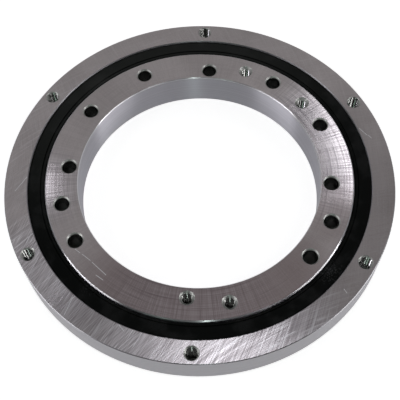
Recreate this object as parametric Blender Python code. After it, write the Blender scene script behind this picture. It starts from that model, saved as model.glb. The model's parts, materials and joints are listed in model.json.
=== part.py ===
"""Four-point contact slewing bearing: a plain outer ring with six tapped holes, an inner ring with its
own bolt holes, thirty-six balls in a window cage between them, and a lip seal over each side of the gap.

The frame: +Z is the turning axis, and the origin is its foot, in the plane of the inner ring's lower face.
The outer ring's first tapped hole lies on +Y.
"""

import bmesh
import bpy
from math import asin, acos, cos, pi, radians, sin, tau
from mathutils import Matrix, Vector

MM = 0.001

# Balls and raceways
PITCH_DIAMETER = 234.5 * MM
BALL_DIAMETER = 14 * MM
BALL_COUNT = 36
CONTACT_ANGLE = radians(45)
RACE_RELIEF = 0.45 * MM  # the raceway's arcs are this much larger in radius than the ball
RUNNING_GAP = 0.35 * MM  # between a ball, its pocket and its raceways
RACE_ARC_STEPS = 3
LAND_OFFSET = 2 * MM  # from the pitch circle to the plain land of either ring
LAND_HEIGHT = 0.86 * MM  # from the raceway's edge to the floor of the seal's pocket

# Rings, each measured outwards or inwards from the pitch circle
OUTER_RING_SECTION = 16.4 * MM  # from the seal's seat out to the rim
INNER_RING_SECTION = 23.75 * MM  # from the lip's wall in to the bore
OUTER_RING_LIFT = 1.5 * MM  # its lower face above the inner ring's lower face
INNER_RING_DROP = 0.5 * MM  # its upper face below the outer ring's upper face
INNER_RING_TURN = radians(-2.8)  # the inner ring as it stands in the outer one at rest
RING_CHAMFER = 0.5 * MM
LEAD_IN_CHAMFER = 0.8 * MM  # at the edges of the wall that the lip slides over
OUTER_SEGMENTS = 60
INNER_SEGMENTS = 48

# Seal pockets
SEAT_REACH = 6.35 * MM  # from the pitch circle out to the wall beside the seal
WALL_REACH = 6 * MM  # from the pitch circle in to the wall that the lip runs on
SEAL_POCKET_DEPTH = 5.3 * MM
UNDERCUT_DEPTH = 1.3 * MM
UNDERCUT_HEIGHT = 1.8 * MM

# Seals
SEAL_RECESS = 1 * MM  # the seal's flat below the outer ring's face
SEAL_WEB_THICKNESS = 1.9 * MM
SEAL_FOOT_WIDTH = 2.6 * MM
SEAL_FOOT_TAPER = 1.4 * MM
HINGE_GROOVE_WIDTH = 0.9 * MM
HINGE_GROOVE_DEPTH = 0.6 * MM
LIP_WIDTH = 2.15 * MM  # from the hinge groove in to the lip's tip
LIP_EDGE_WIDTH = 0.5 * MM  # from the lip's upper edge in to its tip
LIP_DROP = 0.4 * MM
LIP_THICKNESS = 1.2 * MM
LIP_FLOOR_GAP = 0.7 * MM  # under the lip's tip, where grease gathers
LIP_GAP = 0.4 * MM
SEAT_GAP = 0.3 * MM

# Cage
CAGE_GAP = 0.8 * MM  # between the cage and the land of either ring
CAGE_RIB = 1.6 * MM  # what is left above and below a pocket
POCKET_SIDES = 12

# Holes of the outer ring: tapped M10, right through
OUTER_BOLT_COUNT = 6
OUTER_BOLT_INSET = 7.5 * MM  # from the rim in to the bolt circle
M10_CORE = 8.5 * MM
M10_MOUTH = 10.5 * MM

# Holes of the inner ring. Their circles are measured from the bore, their angles from an index line.
INNER_BOLT_INSET = 12.5 * MM
LOCATING_INSET = 7.5 * MM
PLAIN_HOLE = 10.5 * MM
PLAIN_HOLE_MOUTH = 11.5 * MM
M8_CORE = 6.8 * MM
M8_MOUTH = 8.8 * MM
PLAIN_ON_BOLT_CIRCLE = [radians(a) for a in (30, 60, 108, 126, -30, -60, -108, -126)]
PLAIN_ON_LOCATING_CIRCLE = [radians(a) for a in (0, 90, -90)]
TAPPED_ON_BOLT_CIRCLE = [radians(a) for a in (-16.5, -46.5, 196.5)]
TAPPED_ON_LOCATING_CIRCLE = [radians(180)]
INDEX_LINE = radians(90) + INNER_RING_TURN

# Loading hole of the outer ring, its plug and the taper pin that locks the plug
PLUG_ANGLE = radians(60)
LOADING_CLEARANCE = 1 * MM  # by which the hole is wider than a ball
PIN_LARGE_END = 5 * MM
PIN_TAPER = 1 / 50
PIN_LENGTH = 17 * MM
PIN_INSET = 9 * MM  # from the rim in to the pin's axis

HOLE_SIDES = 12
CUT_OVERRUN = 2 * MM

# Radii that follow from the sizes above
BALL_RADIUS = BALL_DIAMETER / 2
PITCH_RADIUS = PITCH_DIAMETER / 2
SEAT_RADIUS = PITCH_RADIUS + SEAT_REACH
WALL_RADIUS = PITCH_RADIUS - WALL_REACH
OUTER_RADIUS = SEAT_RADIUS + OUTER_RING_SECTION
BORE_RADIUS = WALL_RADIUS - INNER_RING_SECTION

# The arcs of a raceway: their radius, how far their centres are shifted, and where they start and end
ARC_RADIUS = BALL_RADIUS + RACE_RELIEF
ARC_SHIFT_OUT = (RACE_RELIEF - RUNNING_GAP) * cos(CONTACT_ANGLE)
ARC_SHIFT_DOWN = (RACE_RELIEF - RUNNING_GAP) * sin(CONTACT_ANGLE)
ARC_AT_LAND = acos((LAND_OFFSET + ARC_SHIFT_OUT) / ARC_RADIUS)
ARC_AT_POINT = asin(ARC_SHIFT_DOWN / ARC_RADIUS)

# Levels that follow: from the race's middle plane to a pocket's floor and to a face of the outer ring
SHELF_REACH = ARC_RADIUS * sin(ARC_AT_LAND) - ARC_SHIFT_DOWN + LAND_HEIGHT
FACE_REACH = SHELF_REACH + SEAL_POCKET_DEPTH
RACE_LEVEL = OUTER_RING_LIFT + FACE_REACH
OUTER_FOOT = OUTER_RING_LIFT
OUTER_TOP = RACE_LEVEL + FACE_REACH
INNER_TOP = OUTER_TOP - INNER_RING_DROP


# Materials


def metal(name, colour, roughness):
    return surface(name, colour, roughness, metallic=1.0)


def surface(name, colour, roughness, metallic=0.0):
    material = bpy.data.materials.new(name)
    material.use_nodes = True
    shader = material.node_tree.nodes["Principled BSDF"]
    shader.inputs["Base Color"].default_value = (*colour, 1)
    shader.inputs["Roughness"].default_value = roughness
    shader.inputs["Metallic"].default_value = metallic
    material.diffuse_color = (*colour, 1)
    return material


# Turned shapes


def turned(profile, segments, start=0.0):
    """A closed (radius, height) outline carried once round the Z axis, as a closed shell."""
    mesh = bmesh.new()
    rims = []
    for step in range(segments):
        angle = start + tau * step / segments
        rims.append([mesh.verts.new((r * cos(angle), r * sin(angle), z)) for r, z in profile])
    for near, far in zip(rims, rims[1:] + rims[:1]):
        for i in range(len(profile)):
            j = (i + 1) % len(profile)
            mesh.faces.new((near[i], far[i], far[j], near[j]))
    bmesh.ops.recalc_face_normals(mesh, faces=mesh.faces)
    return mesh


def lathe(profile, sides):
    """A solid pin or cutter: an open (radius, height) outline, foot first, turned about Z and capped."""
    mesh = bmesh.new()
    rims = []
    for r, z in profile:
        turns = [tau * k / sides for k in range(sides)]
        rims.append([mesh.verts.new((r * cos(t), r * sin(t), z)) for t in turns])
    for low, high in zip(rims, rims[1:]):
        for k in range(sides):
            n = (k + 1) % sides
            mesh.faces.new((low[k], low[n], high[n], high[k]))
    mesh.faces.new(rims[0][::-1])
    mesh.faces.new(rims[-1])
    bmesh.ops.recalc_face_normals(mesh, faces=mesh.faces)
    return mesh


def placed(mesh, matrix):
    bmesh.ops.transform(mesh, matrix=matrix, verts=mesh.verts)
    return mesh


def merged(meshes):
    """Several shells in one mesh, each still closed by itself."""
    whole = bmesh.new()
    for mesh in meshes:
        copy = bpy.data.meshes.new("copy")
        mesh.to_mesh(copy)
        mesh.free()
        whole.from_mesh(copy)
        bpy.data.meshes.remove(copy)
    return whole


def on_circle(radius, angle, height=0.0):
    return Vector((radius * cos(angle), radius * sin(angle), height))


# Objects


def mesh_data(name, mesh, material=None, smooth_under=radians(40)):
    data = bpy.data.meshes.new(name)
    mesh.to_mesh(data)
    mesh.free()
    if material:
        data.materials.append(material)
    data.shade_smooth()
    data.set_sharp_from_angle(angle=smooth_under)
    return data


def make(name, data, parent=None):
    made = bpy.data.objects.new(name, data)
    bpy.context.scene.collection.objects.link(made)
    made.parent = parent
    return made


def make_cutter(name, mesh):
    made = make(name, mesh_data(name, mesh))
    made.hide_render = True
    made.display_type = "WIRE"
    return made


def combine(made, other, operation):
    step = made.modifiers.new(f"{operation.lower()}_{other.name}", "BOOLEAN")
    step.operation = operation
    step.solver = "EXACT"
    step.object = other


# Raceways: each ring has a pointed arch of two arcs, so a ball meets it at two points


def race_arch(side):
    """The arch from its upper edge to its lower edge. side is 1 on the outer ring and -1 on the inner."""
    upper = []
    for step in range(RACE_ARC_STEPS + 1):
        angle = ARC_AT_LAND + (ARC_AT_POINT - ARC_AT_LAND) * step / RACE_ARC_STEPS
        reach = ARC_RADIUS * cos(angle) - ARC_SHIFT_OUT
        rise = ARC_RADIUS * sin(angle) - ARC_SHIFT_DOWN
        upper.append((PITCH_RADIUS + side * reach, RACE_LEVEL + rise))
    return upper + upside_down(upper[:-1])


def upside_down(points):
    """The same points mirrored in the race's middle plane, in the order that carries the outline on."""
    return [(r, 2 * RACE_LEVEL - z) for r, z in reversed(points)]


# Outer ring


def outer_ring_profile():
    top = OUTER_TOP
    shelf = RACE_LEVEL + SHELF_REACH
    undercut = SEAT_RADIUS + UNDERCUT_DEPTH
    upper_half = [
        (OUTER_RADIUS, top - RING_CHAMFER),
        (OUTER_RADIUS - RING_CHAMFER, top),
        (SEAT_RADIUS + RING_CHAMFER, top),
        (SEAT_RADIUS, top - RING_CHAMFER),
        (SEAT_RADIUS, shelf + UNDERCUT_HEIGHT),
        (undercut, shelf + UNDERCUT_HEIGHT),
        (undercut, shelf),
        (PITCH_RADIUS + LAND_OFFSET, shelf),
    ]
    return upper_half + race_arch(1) + upside_down(upper_half)


def through_hole(core, mouth, foot, top):
    """A cutter for a hole with a 45 degree countersink at both faces."""
    sink = (mouth - core) / 2
    profile = [
        (mouth / 2 + CUT_OVERRUN, foot - CUT_OVERRUN),
        (core / 2, foot + sink),
        (core / 2, top - sink),
        (mouth / 2 + CUT_OVERRUN, top + CUT_OVERRUN),
    ]
    return lathe(profile, HOLE_SIDES)


def holes_on(circle_radius, angles, core, mouth, foot, top):
    cutters = []
    for angle in angles:
        place = Matrix.Translation(on_circle(circle_radius, angle)) @ Matrix.Rotation(angle, 4, "Z")
        cutters.append(placed(through_hole(core, mouth, foot, top), place))
    return cutters


def radial_rod(radius, inner, outer, angle, sides, roll=0.0):
    """A rod on the race's level that points out from the axis at this angle."""
    rod = lathe([(radius, inner), (radius, outer)], sides)
    aim = Matrix.Rotation(angle, 4, "Z") @ Matrix.Rotation(pi / 2, 4, "Y") @ Matrix.Rotation(roll, 4, "Z")
    return placed(rod, Matrix.Translation((0, 0, RACE_LEVEL)) @ aim)


def loading_rod(clearance):
    """The loading hole's rod, or the plug's, which is smaller all round by a clearance."""
    radius = (BALL_DIAMETER + LOADING_CLEARANCE) / 2 - clearance
    return radial_rod(radius, PITCH_RADIUS, OUTER_RADIUS + CUT_OVERRUN, PLUG_ANGLE, HOLE_SIDES)


def taper_rod(growth, foot, top):
    """A rod on the pin's axis that narrows by the pin's taper as it rises, wider all round by growth."""
    large = PIN_LARGE_END / 2 + growth
    small = large - PIN_TAPER * (top - foot) / 2
    place = Matrix.Translation(on_circle(OUTER_RADIUS - PIN_INSET, PLUG_ANGLE))
    return placed(lathe([(large, foot), (small, top)], HOLE_SIDES), place)


def make_outer_ring(steel, pin_hole):
    ring = make("outer_ring", mesh_data("outer_ring", turned(outer_ring_profile(), OUTER_SEGMENTS), steel))
    angles = [radians(90) + tau * k / OUTER_BOLT_COUNT for k in range(OUTER_BOLT_COUNT)]
    circle = OUTER_RADIUS - OUTER_BOLT_INSET
    cutters = holes_on(circle, angles, M10_CORE, M10_MOUTH, OUTER_FOOT, OUTER_TOP)
    cutters.append(loading_rod(0))
    combine(ring, make_cutter("outer_ring_holes", merged(cutters)), "DIFFERENCE")
    combine(ring, pin_hole, "DIFFERENCE")
    return ring


# Fill plug: it closes the loading hole, and its inner end carries the raceway on


def make_fill_plug(steel, ring, pin_hole):
    blank = make_cutter("fill_plug_blank", turned(outer_ring_profile(), OUTER_SEGMENTS))
    plug = make("fill_plug", mesh_data("fill_plug", loading_rod(SEAT_GAP), steel), ring)
    combine(plug, blank, "INTERSECT")
    combine(plug, pin_hole, "DIFFERENCE")


def make_taper_pin(steel, ring):
    pin = taper_rod(0, OUTER_FOOT, OUTER_FOOT + PIN_LENGTH)
    make("plug_taper_pin", mesh_data("plug_taper_pin", pin, steel), ring)


# Inner ring


def inner_ring_profile():
    land = PITCH_RADIUS - LAND_OFFSET
    return [
        (BORE_RADIUS, RING_CHAMFER),
        (BORE_RADIUS, INNER_TOP - RING_CHAMFER),
        (BORE_RADIUS + RING_CHAMFER, INNER_TOP),
        (WALL_RADIUS - LEAD_IN_CHAMFER, INNER_TOP),
        (WALL_RADIUS, INNER_TOP - LEAD_IN_CHAMFER),
        (WALL_RADIUS, RACE_LEVEL + SHELF_REACH),
        (land, RACE_LEVEL + SHELF_REACH),
        *race_arch(-1),
        (land, RACE_LEVEL - SHELF_REACH),
        (WALL_RADIUS, RACE_LEVEL - SHELF_REACH),
        (WALL_RADIUS, LEAD_IN_CHAMFER),
        (WALL_RADIUS - LEAD_IN_CHAMFER, 0),
        (BORE_RADIUS + RING_CHAMFER, 0),
    ]


def make_inner_ring(steel):
    blank = turned(inner_ring_profile(), INNER_SEGMENTS, INNER_RING_TURN)
    ring = make("inner_ring", mesh_data("inner_ring", blank, steel))
    bolt_circle = BORE_RADIUS + INNER_BOLT_INSET
    locating_circle = BORE_RADIUS + LOCATING_INSET
    patterns = (
        (bolt_circle, PLAIN_ON_BOLT_CIRCLE, PLAIN_HOLE, PLAIN_HOLE_MOUTH),
        (locating_circle, PLAIN_ON_LOCATING_CIRCLE, PLAIN_HOLE, PLAIN_HOLE_MOUTH),
        (bolt_circle, TAPPED_ON_BOLT_CIRCLE, M8_CORE, M8_MOUTH),
        (locating_circle, TAPPED_ON_LOCATING_CIRCLE, M8_CORE, M8_MOUTH),
    )
    cutters = []
    for circle, angles, core, mouth in patterns:
        turned_angles = [INDEX_LINE + angle for angle in angles]
        cutters += holes_on(circle, turned_angles, core, mouth, 0, INNER_TOP)
    combine(ring, make_cutter("inner_ring_holes", merged(cutters)), "DIFFERENCE")


# Seals: a foot held in the outer ring's undercut, a flat web, and a lip beyond a hinge groove


def seal_profile():
    """The upper seal's outline, from the outer end of its flat in to the lip and back along the underside."""
    flat = OUTER_TOP - SEAL_RECESS
    web_under = flat - SEAL_WEB_THICKNESS
    floor = RACE_LEVEL + SHELF_REACH + SEAT_GAP
    rim = SEAT_RADIUS - SEAT_GAP
    bead = rim + UNDERCUT_DEPTH
    bead_top = floor + UNDERCUT_HEIGHT - 2 * SEAT_GAP
    foot = rim - SEAL_FOOT_WIDTH
    tip = WALL_RADIUS + LIP_GAP
    tip_foot = RACE_LEVEL + SHELF_REACH + LIP_FLOOR_GAP
    lip_edge = tip + LIP_EDGE_WIDTH
    groove_inner = tip + LIP_WIDTH
    groove_outer = groove_inner + HINGE_GROOVE_WIDTH
    half_lip = LIP_THICKNESS / 2
    return [
        (rim, flat),
        (groove_outer, flat),
        ((groove_inner + groove_outer) / 2, flat - HINGE_GROOVE_DEPTH),
        (groove_inner, flat),
        (lip_edge, flat - LIP_DROP),
        (tip, tip_foot + half_lip),
        (tip + half_lip, tip_foot),
        (lip_edge + half_lip, flat - LIP_DROP - LIP_THICKNESS),
        (groove_outer, web_under),
        (foot - SEAL_FOOT_TAPER, web_under),
        (foot, floor),
        (bead, floor),
        (bead, bead_top),
        (rim, bead_top),
    ]


def make_seals(rubber, ring):
    upper = seal_profile()
    for name, profile in (("upper_seal", upper), ("lower_seal", upside_down(upper))):
        make(name, mesh_data(name, turned(profile, OUTER_SEGMENTS), rubber), ring)


# Cage and balls


def ball_angles():
    return [tau * (k + 0.5) / BALL_COUNT for k in range(BALL_COUNT)]


def cage_profile():
    half = BALL_RADIUS + RUNNING_GAP + CAGE_RIB
    inner = PITCH_RADIUS - LAND_OFFSET + CAGE_GAP
    outer = PITCH_RADIUS + LAND_OFFSET - CAGE_GAP
    low = RACE_LEVEL - half
    high = RACE_LEVEL + half
    return [(inner, low), (outer, low), (outer, high), (inner, high)]


def make_cage(polyamide):
    """A band with one facet to each pocket. A pocket's flats clear the ball by the running gap."""
    cage = make("ball_cage", mesh_data("ball_cage", turned(cage_profile(), BALL_COUNT), polyamide))
    radius = (BALL_RADIUS + RUNNING_GAP) / cos(pi / POCKET_SIDES)
    inner = PITCH_RADIUS - 2 * LAND_OFFSET
    outer = PITCH_RADIUS + 2 * LAND_OFFSET
    roll = pi / POCKET_SIDES
    rods = [radial_rod(radius, inner, outer, angle, POCKET_SIDES, roll) for angle in ball_angles()]
    combine(cage, make_cutter("cage_pockets", merged(rods)), "DIFFERENCE")
    return cage


def make_balls(steel, cage):
    mesh = bmesh.new()
    bmesh.ops.create_icosphere(mesh, subdivisions=2, radius=BALL_RADIUS)
    data = mesh_data("ball", mesh, steel, smooth_under=radians(60))
    for number, angle in enumerate(ball_angles(), 1):
        ball = make(f"ball_{number:02d}", data, cage)
        ball.location = on_circle(PITCH_RADIUS, angle, RACE_LEVEL)
        ball.rotation_euler = (0, 0, angle)


# The whole bearing


def clear_scene():
    for old in list(bpy.data.objects):
        bpy.data.objects.remove(old)


def build():
    clear_scene()
    ground_steel = metal("ground_steel", (0.56, 0.54, 0.55), 0.32)
    ball_steel = metal("ball_steel", (0.78, 0.78, 0.79), 0.08)
    pin_steel = metal("pin_steel", (0.42, 0.42, 0.43), 0.4)
    black_rubber = surface("black_rubber", (0.02, 0.021, 0.021), 0.45)
    polyamide = surface("polyamide", (0.72, 0.66, 0.5), 0.5)

    pin_hole_top = OUTER_FOOT + PIN_LENGTH + SEAT_GAP
    pin_hole = make_cutter("pin_hole", taper_rod(SEAT_GAP, OUTER_FOOT - CUT_OVERRUN, pin_hole_top))
    outer_ring = make_outer_ring(ground_steel, pin_hole)
    make_fill_plug(ground_steel, outer_ring, pin_hole)
    make_taper_pin(pin_steel, outer_ring)
    make_seals(black_rubber, outer_ring)
    make_inner_ring(ground_steel)
    cage = make_cage(polyamide)
    make_balls(ball_steel, cage)


build()
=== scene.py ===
"""The looks of a four-point contact slewing bearing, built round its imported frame.

Everything is in metres in the frame's own axes: +Z is the turning axis and z = 0 is the inner ring's foot.
The file follows the bearing as it is put together: inner ring, cage, balls, outer ring, fill plug, taper
pin and seals. The camera comes before them and the studio after.
"""
import json
from math import cos, pi, radians, sin, tau

import bmesh
import bpy
import numpy as np
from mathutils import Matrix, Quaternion, Vector


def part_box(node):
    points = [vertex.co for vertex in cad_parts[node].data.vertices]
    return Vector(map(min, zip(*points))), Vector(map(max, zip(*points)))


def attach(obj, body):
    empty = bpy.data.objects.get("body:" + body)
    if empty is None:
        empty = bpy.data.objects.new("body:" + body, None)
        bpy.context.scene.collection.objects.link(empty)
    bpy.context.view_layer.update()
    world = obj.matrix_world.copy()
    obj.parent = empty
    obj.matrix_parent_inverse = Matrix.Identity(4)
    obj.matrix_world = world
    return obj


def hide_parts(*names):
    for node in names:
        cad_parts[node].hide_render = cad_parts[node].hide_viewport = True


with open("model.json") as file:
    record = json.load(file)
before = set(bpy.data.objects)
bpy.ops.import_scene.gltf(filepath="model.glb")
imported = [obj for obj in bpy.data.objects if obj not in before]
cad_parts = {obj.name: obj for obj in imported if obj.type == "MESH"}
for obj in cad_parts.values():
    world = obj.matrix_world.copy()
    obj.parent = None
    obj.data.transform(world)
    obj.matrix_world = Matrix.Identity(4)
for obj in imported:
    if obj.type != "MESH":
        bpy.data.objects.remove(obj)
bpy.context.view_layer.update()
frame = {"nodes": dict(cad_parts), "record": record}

MM = 0.001


# The camera looks down on the bearing at about 59 degrees, from a little to the right of the row's -Y,
# with the tilted horizon of the photograph. Turns are counted from -Y towards +X.

FACE_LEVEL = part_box("outer_ring")[1].z
CAMERA_TURN = radians(3.95)
CAMERA_RISE = radians(59.2)
CAMERA_DISTANCE = 543.8 * MM
CAMERA_AIM = 21.2 * MM  # how far the aim falls short of the axis
CAMERA_ROLL = radians(-2.22)
LENS = 67.9
SENSOR = 36


def toward(turn, rise):
    """The unit vector from the middle to this turn and this rise above the level."""
    return Vector((cos(rise) * sin(turn), -cos(rise) * cos(turn), sin(rise)))


middle = Vector((0, 0, FACE_LEVEL))
camera = bpy.data.objects.new("camera", bpy.data.cameras.new("camera"))
bpy.context.scene.collection.objects.link(camera)
bpy.context.scene.camera = camera
camera.data.lens = LENS
camera.data.sensor_width = SENSOR
camera.location = middle + CAMERA_DISTANCE * toward(CAMERA_TURN, CAMERA_RISE)
view = middle + CAMERA_AIM * toward(CAMERA_TURN, 0) - camera.location
camera.rotation_euler = (view.to_track_quat("-Z", "Y") @ Quaternion((0, 0, 1), CAMERA_ROLL)).to_euler()


# Inner ring: one ring of bearing steel, turned all over and ground on both faces. It has eleven plain holes
# and four tapped ones, a fine-turned bore, and on the outside the race and the walls that the lips run on.
# Every surface is a grid of points, and the grids of one piece are welded edge to edge.

BORE_CHAMFER = 0.5 * MM
LEAD_IN_CHAMFER = 0.8 * MM
LAND_STEP = 4 * MM  # how far the land beside the race stands out past the lip's wall
LAND_HEIGHT = 0.86 * MM
EASE = 0.1 * MM  # how far an edge's rounding reaches on each side of it
EASE_FLAT = 1.4  # how far out the straights' own points lie, over that reach
EASE_STEPS = 3
RACE_RELIEF = 0.45 * MM
RACE_GAP = 0.35 * MM
RACE_STEPS = 12
PLAIN_RADIUS = 5.25 * MM  # the holes' sizes are radii, except the pitch
PLAIN_MOUTH = 6.2 * MM
M8_CORE = 3.4 * MM
M8_MAJOR = 4 * MM
M8_MOUTH = 5.3 * MM
M8_PITCH = 1.25 * MM
THREAD_SHARES = np.array([0, 0.25, 0.5625, 0.6875])  # of a pitch: crest, crest, root, root
THREAD_DEPTHS = np.array([0, 0, 1, 1])
HOLE_COLUMNS = 48
SIDE_CELLS = HOLE_COLUMNS // 4  # on each side of a hole's share of a face
HOLE_MARGIN = radians(1)
FACE_STEPS = 3
COLUMN_STEP = radians(1)
WELD_DISTANCE = 0.001 * MM
SHARP = radians(28)  # edges that turn more than this aren't shaded smooth


def corners_of(node):
    """The points of a node of the frame, one in a row."""
    flat = np.empty(len(frame["nodes"][node].data.vertices) * 3, np.float32)
    frame["nodes"][node].data.vertices.foreach_get("co", flat)
    return flat.reshape(-1, 3).astype(float)


def reach_of(node):
    """Smallest and largest distance from the axis, foot and top of a node of the frame."""
    points = corners_of(node)
    radii = np.hypot(points[:, 0], points[:, 1])
    return radii.min(), radii.max(), points[:, 2].min(), points[:, 2].max()


def hole_places(name):
    """Turn from +X and distance from the axis of the holes of this name, from their boxes in the record."""
    openings = frame["record"]["physics"]["openings"]
    boxes = np.array([box["box_m"] for box in openings if box["name"].startswith(name)])
    middles = boxes.mean(axis=1)
    return np.arctan2(middles[:, 1], middles[:, 0]) % tau, np.hypot(middles[:, 0], middles[:, 1])


bore_radius, inner_land, inner_foot, inner_top = reach_of("inner_ring")
outer_land, rim_radius, outer_foot, outer_top = reach_of("outer_ring")
ball_low, ball_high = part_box("ball_01")
ball_radius = (ball_high.z - ball_low.z) / 2
pitch_radius = (inner_land + outer_land) / 2
race_level = (ball_low.z + ball_high.z) / 2
wall_radius = inner_land - LAND_STEP
race_arc = ball_radius + RACE_RELIEF
race_shift = (RACE_RELIEF - RACE_GAP) * cos(pi / 4)


def race_arch(side):
    """Two arcs that meet in a point at the balls' level, from the upper land to the lower one. Each is the
    cosine and sine of an angle about a centre shifted past the ball's. side is 1 outside and -1 inside."""
    land_offset = (outer_land - inner_land) / 2
    start = np.arccos((land_offset + race_shift) / race_arc)
    end = np.arcsin(race_shift / race_arc)
    angles = np.linspace(start, end, RACE_STEPS + 1)
    radii = pitch_radius + side * (race_arc * np.cos(angles) - race_shift)
    rises = race_arc * np.sin(angles) - race_shift
    upper = np.column_stack([radii, race_level + rises])
    return np.vstack([upper, mirrored(upper)[1:]])


def mirrored(outline):
    """The outline upside down about the balls' level, in the order that carries it on."""
    return np.column_stack([outline[::-1, 0], 2 * race_level - outline[::-1, 1]])


def eased(outline, ease=EASE):
    """Each corner between the outline's ends becomes a quadratic curve from `ease` before it to `ease` after
    it, with one more point on each straight beside it, so that the flats stay flat when shaded smooth."""
    outline = np.asarray(outline, float)
    corner = outline[1:-1, None, :]
    before = outline[:-2, None, :] - corner
    after = outline[2:, None, :] - corner
    before /= np.linalg.norm(before, axis=2, keepdims=True)
    after /= np.linalg.norm(after, axis=2, keepdims=True)
    s = np.linspace(0, 1, EASE_STEPS + 1)[None, :, None]
    curve = corner + ease * ((1 - s) ** 2 * before + s**2 * after)
    straights = [corner + EASE_FLAT * ease * before, curve, corner + EASE_FLAT * ease * after]
    eased_points = np.concatenate(straights, axis=1).reshape(-1, 2)
    return np.vstack([outline[:1], eased_points, outline[-1:]])


def turned(outline, angles):
    """A grid from a (distance, height) outline turned about Z: distance times the cosine and sine of each
    angle, and the height."""
    outline = np.asarray(outline, float)
    x = outline[:, :1] * np.cos(angles)
    y = outline[:, :1] * np.sin(angles)
    return np.stack([x, y, np.broadcast_to(outline[:, 1:], x.shape)], axis=-1)


def even_angles(count):
    return tau * np.arange(count) / count


def turn_about_z(points, turn, circle=0.0):
    """The points moved out by the circle's radius along X and then turned about Z."""
    x = points[..., 0] + circle
    y = points[..., 1]
    return np.stack([x * cos(turn) - y * sin(turn), x * sin(turn) + y * cos(turn), points[..., 2]], axis=-1)


def column_runs(turns, half_widths):
    """The angles of a ring's columns. A hole has a run of equal steps across twice its half width, and the
    land up to the next hole is a run of about even steps."""
    starts = turns - half_widths
    ends = turns + half_widths
    runs = []
    for start, end, after in zip(starts, ends, np.append(starts[1:], starts[0] + tau)):
        count = max(2, round((after - end) / COLUMN_STEP))
        runs.append((np.linspace(start, end, SIDE_CELLS + 1), np.linspace(end, after, count + 1)))
    return runs


def all_columns(runs):
    return np.concatenate([part[:-1] for run in runs for part in run])


def around_hole(run, inner, outer):
    """Points round the border of a hole's share of a face, as (turn, distance), a quarter on each side: side
    steps and corners of the square from -1 to 1, stretched over the run's angles and the face's width."""
    side = np.linspace(-1, 1, SIDE_CELLS + 1)[:-1]
    one = np.ones_like(side)
    along = np.concatenate([-one, side, one, -side])
    across = np.concatenate([side, one, -side, -one])
    turns = (run[0] + run[-1]) / 2 + along * (run[-1] - run[0]) / 2
    return turns, (inner + outer) / 2 + across * (outer - inner) / 2


def drilled_face(run, turn, circle, mouth, inner, outer, level):
    """Rows that grow evenly from the hole's round mouth to the border of its share of the flat face."""
    turns, distances = around_hole(run, inner, outer)
    heights = np.full(len(turns), level)
    border = np.column_stack([distances * np.cos(turns), distances * np.sin(turns), heights])
    rim = turn_about_z(turned([(mouth, level)], hole_angles())[0], turn, circle)
    share = np.linspace(0, 1, FACE_STEPS + 1)[:, None, None]
    return (1 - share) * rim + share * border


def hole_angles(closed=False):
    """The angles of a hole's columns. They start three eighths of a turn back, at a corner of its share."""
    return tau * (np.arange(HOLE_COLUMNS + closed) / HOLE_COLUMNS - 3 / 8)


def plain_wall(radius, mouth, foot, top):
    sink = mouth - radius
    outline = [(mouth, foot), (radius, foot + sink), (radius, top - sink), (mouth, top)]
    return turned(eased(outline), hole_angles(closed=True))


def threaded_wall(core, major, pitch, mouth, foot, top):
    """A right-hand thread: the height climbs by one pitch a turn, the distance steps between core and major
    with the share of a pitch, and both countersinks cut it back as cones of 45 degrees."""
    angles = hole_angles(closed=True)
    turns = np.arange(np.ceil((top - foot) / pitch) + 2) - 1
    climbs = (turns[:, None] + THREAD_SHARES).reshape(-1, 1) + (angles - angles[0]) / tau
    depths = np.tile(THREAD_DEPTHS, len(turns)).reshape(-1, 1)
    z = np.clip(foot + pitch * climbs, foot, top)
    cones = np.maximum(mouth - (z - foot), mouth - (top - z))
    radius = np.maximum(core + (major - core) * depths, cones)
    return np.stack([radius * np.cos(angles), radius * np.sin(angles), z], axis=-1)


def grid_faces(rows, columns, wraps):
    """Four-sided faces between neighbouring rows and columns. The last column meets the first if it wraps."""
    row = np.arange(rows - 1)[:, None] * columns
    column = np.arange(columns if wraps else columns - 1)[None, :]
    beside = (column + 1) % columns
    return np.stack([row + column, row + beside, row + columns + beside, row + columns + column], axis=-1)


def welded(name, grids, finishes):
    """One closed piece from (grid, wraps, finish) parts: their points and faces are laid end to end, points
    that coincide are merged, and the faces are turned outwards."""
    points = np.concatenate([grid.reshape(-1, 3) for grid, wraps, finish in grids])
    starts = np.cumsum([0] + [grid.shape[0] * grid.shape[1] for grid, wraps, finish in grids])
    faces = [grid_faces(*grid.shape[:2], wraps).reshape(-1, 4) + start
             for (grid, wraps, finish), start in zip(grids, starts)]
    slots = np.repeat([finish for grid, wraps, finish in grids], [len(part) for part in faces])
    mesh = bpy.data.meshes.new(name)
    mesh.from_pydata(points, [], np.concatenate(faces).tolist())
    for finish in finishes:
        mesh.materials.append(finish)
    mesh.polygons.foreach_set("material_index", slots.astype(np.int32))
    merge = bmesh.new()
    merge.from_mesh(mesh)
    bmesh.ops.remove_doubles(merge, verts=merge.verts, dist=WELD_DISTANCE)
    bmesh.ops.recalc_face_normals(merge, faces=merge.faces)
    merge.to_mesh(mesh)
    merge.free()
    mesh.shade_smooth()
    mesh.set_sharp_from_angle(angle=SHARP)
    piece = bpy.data.objects.new(name, mesh)
    bpy.context.scene.collection.objects.link(piece)
    return piece


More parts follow.
